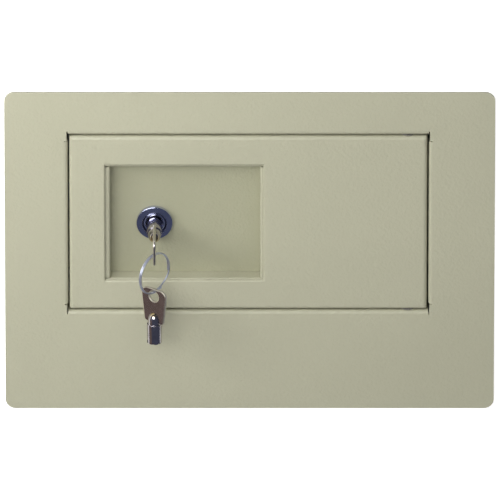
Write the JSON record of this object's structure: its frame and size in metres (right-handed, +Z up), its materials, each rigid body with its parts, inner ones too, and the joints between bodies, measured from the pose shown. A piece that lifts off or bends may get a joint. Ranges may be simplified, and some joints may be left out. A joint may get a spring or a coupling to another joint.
{
  "type": "wall safe",
  "caption": "Recessed wall safe: trim plate with an inset pan door on pivot pins, tubular cam lock in a recess, two keys on a split ring, box behind.",
  "frame": {"origin": "on the wall surface, in the middle of the 19 mm strip of the trim plate's back that lies on the wall below the body", "axes": "+X right as seen from the room, +Y into the wall, +Z up"},
  "size_m": [0.3048, 0.1309, 0.2223],
  "materials": {
    "powder_coat": "putty-olive powder coat, semi-gloss with a fine orange peel",
    "body_coat": "same colour, thinner coat on the hidden box",
    "zinc_steel": "bright zinc plate",
    "chrome": "polished chrome plate on die casting",
    "key_nickel": "polished nickel plate",
    "ring_steel": "bright spring steel",
    "brass": "turned brass",
    "rubber": "moulded black rubber",
    "nylon": "natural nylon",
    "felt": "charcoal needle felt"
  },
  "bodies": {
    "frame": {"body_back": "body_coat", "body_wrap": "body_coat", "door_bumper_bottom": "rubber", "door_bumper_top": "rubber", "door_stop_bottom": "zinc_steel", "door_stop_top": "zinc_steel", "front_plate": "powder_coat", "hinge_pin_bottom": "zinc_steel", "hinge_pin_top": "zinc_steel", "hinge_washer_bottom": "nylon", "hinge_washer_top": "nylon", "interior_mat": "felt", "pivot_plate_bottom": "zinc_steel", "pivot_plate_top": "zinc_steel", "strike_angle": "zinc_steel"},
    "door": {"backing_screw_1": "zinc_steel", "backing_screw_2": "zinc_steel", "backing_screw_3": "zinc_steel", "backing_screw_4": "zinc_steel", "backing_screw_5": "zinc_steel", "backing_screw_6": "zinc_steel", "backing_standoff_1": "zinc_steel", "backing_standoff_2": "zinc_steel", "backing_standoff_3": "zinc_steel", "backing_standoff_4": "zinc_steel", "backing_standoff_5": "zinc_steel", "backing_standoff_6": "zinc_steel", "door_backing": "body_coat", "door_skin": "powder_coat", "hinge_block_bottom": "zinc_steel", "hinge_block_top": "zinc_steel", "lock_housing": "chrome", "lock_nut": "zinc_steel", "lock_plate": "powder_coat", "lock_washer": "zinc_steel", "recess_box": "powder_coat"},
    "core": {"cam_screw": "zinc_steel", "cam_stop_washer": "zinc_steel", "lock_cam": "zinc_steel", "lock_core": "zinc_steel", "tumbler_pin_1": "brass", "tumbler_pin_2": "brass", "tumbler_pin_3": "brass", "tumbler_pin_4": "brass", "tumbler_pin_5": "brass", "tumbler_pin_6": "brass", "tumbler_pin_7": "brass"},
    "lock_key": {"lock_key_barrel": "key_nickel", "lock_key_bow": "key_nickel"},
    "key_ring": {"key_ring": "ring_steel"},
    "spare_key": {"spare_key_barrel": "key_nickel", "spare_key_bow": "key_nickel"}
  },
  "joints": [
    {"name": "door_hinge", "type": "hinge", "parent": "frame", "child": "door", "pos_m": [0.0983, 0.0029, 0.12125], "axis": [0, 0, 1], "range_deg": [0, 100]},
    {"name": "core_turn", "type": "hinge", "parent": "door", "child": "core", "pos_m": [-0.0593, 0.007, 0.1165], "axis": [0, 1, 0], "range_deg": [0, 90]},
    {"name": "key_pull", "type": "slide", "parent": "core", "child": "lock_key", "axis": [0, -0.9903, -0.1392], "range_m": [0, 0.012]},
    {"name": "ring_swing", "type": "hinge", "parent": "lock_key", "child": "key_ring", "pos_m": [-0.0593, -0.02202, 0.11222], "axis": [-1, 0, 0], "range_deg": [-8, 60]},
    {"name": "spare_key_swing", "type": "hinge", "parent": "key_ring", "child": "spare_key", "pos_m": [-0.0593, -0.02202, 0.08079], "axis": [0.5962, 0.8028, 0], "range_deg": [-40, 40]}
  ]
}
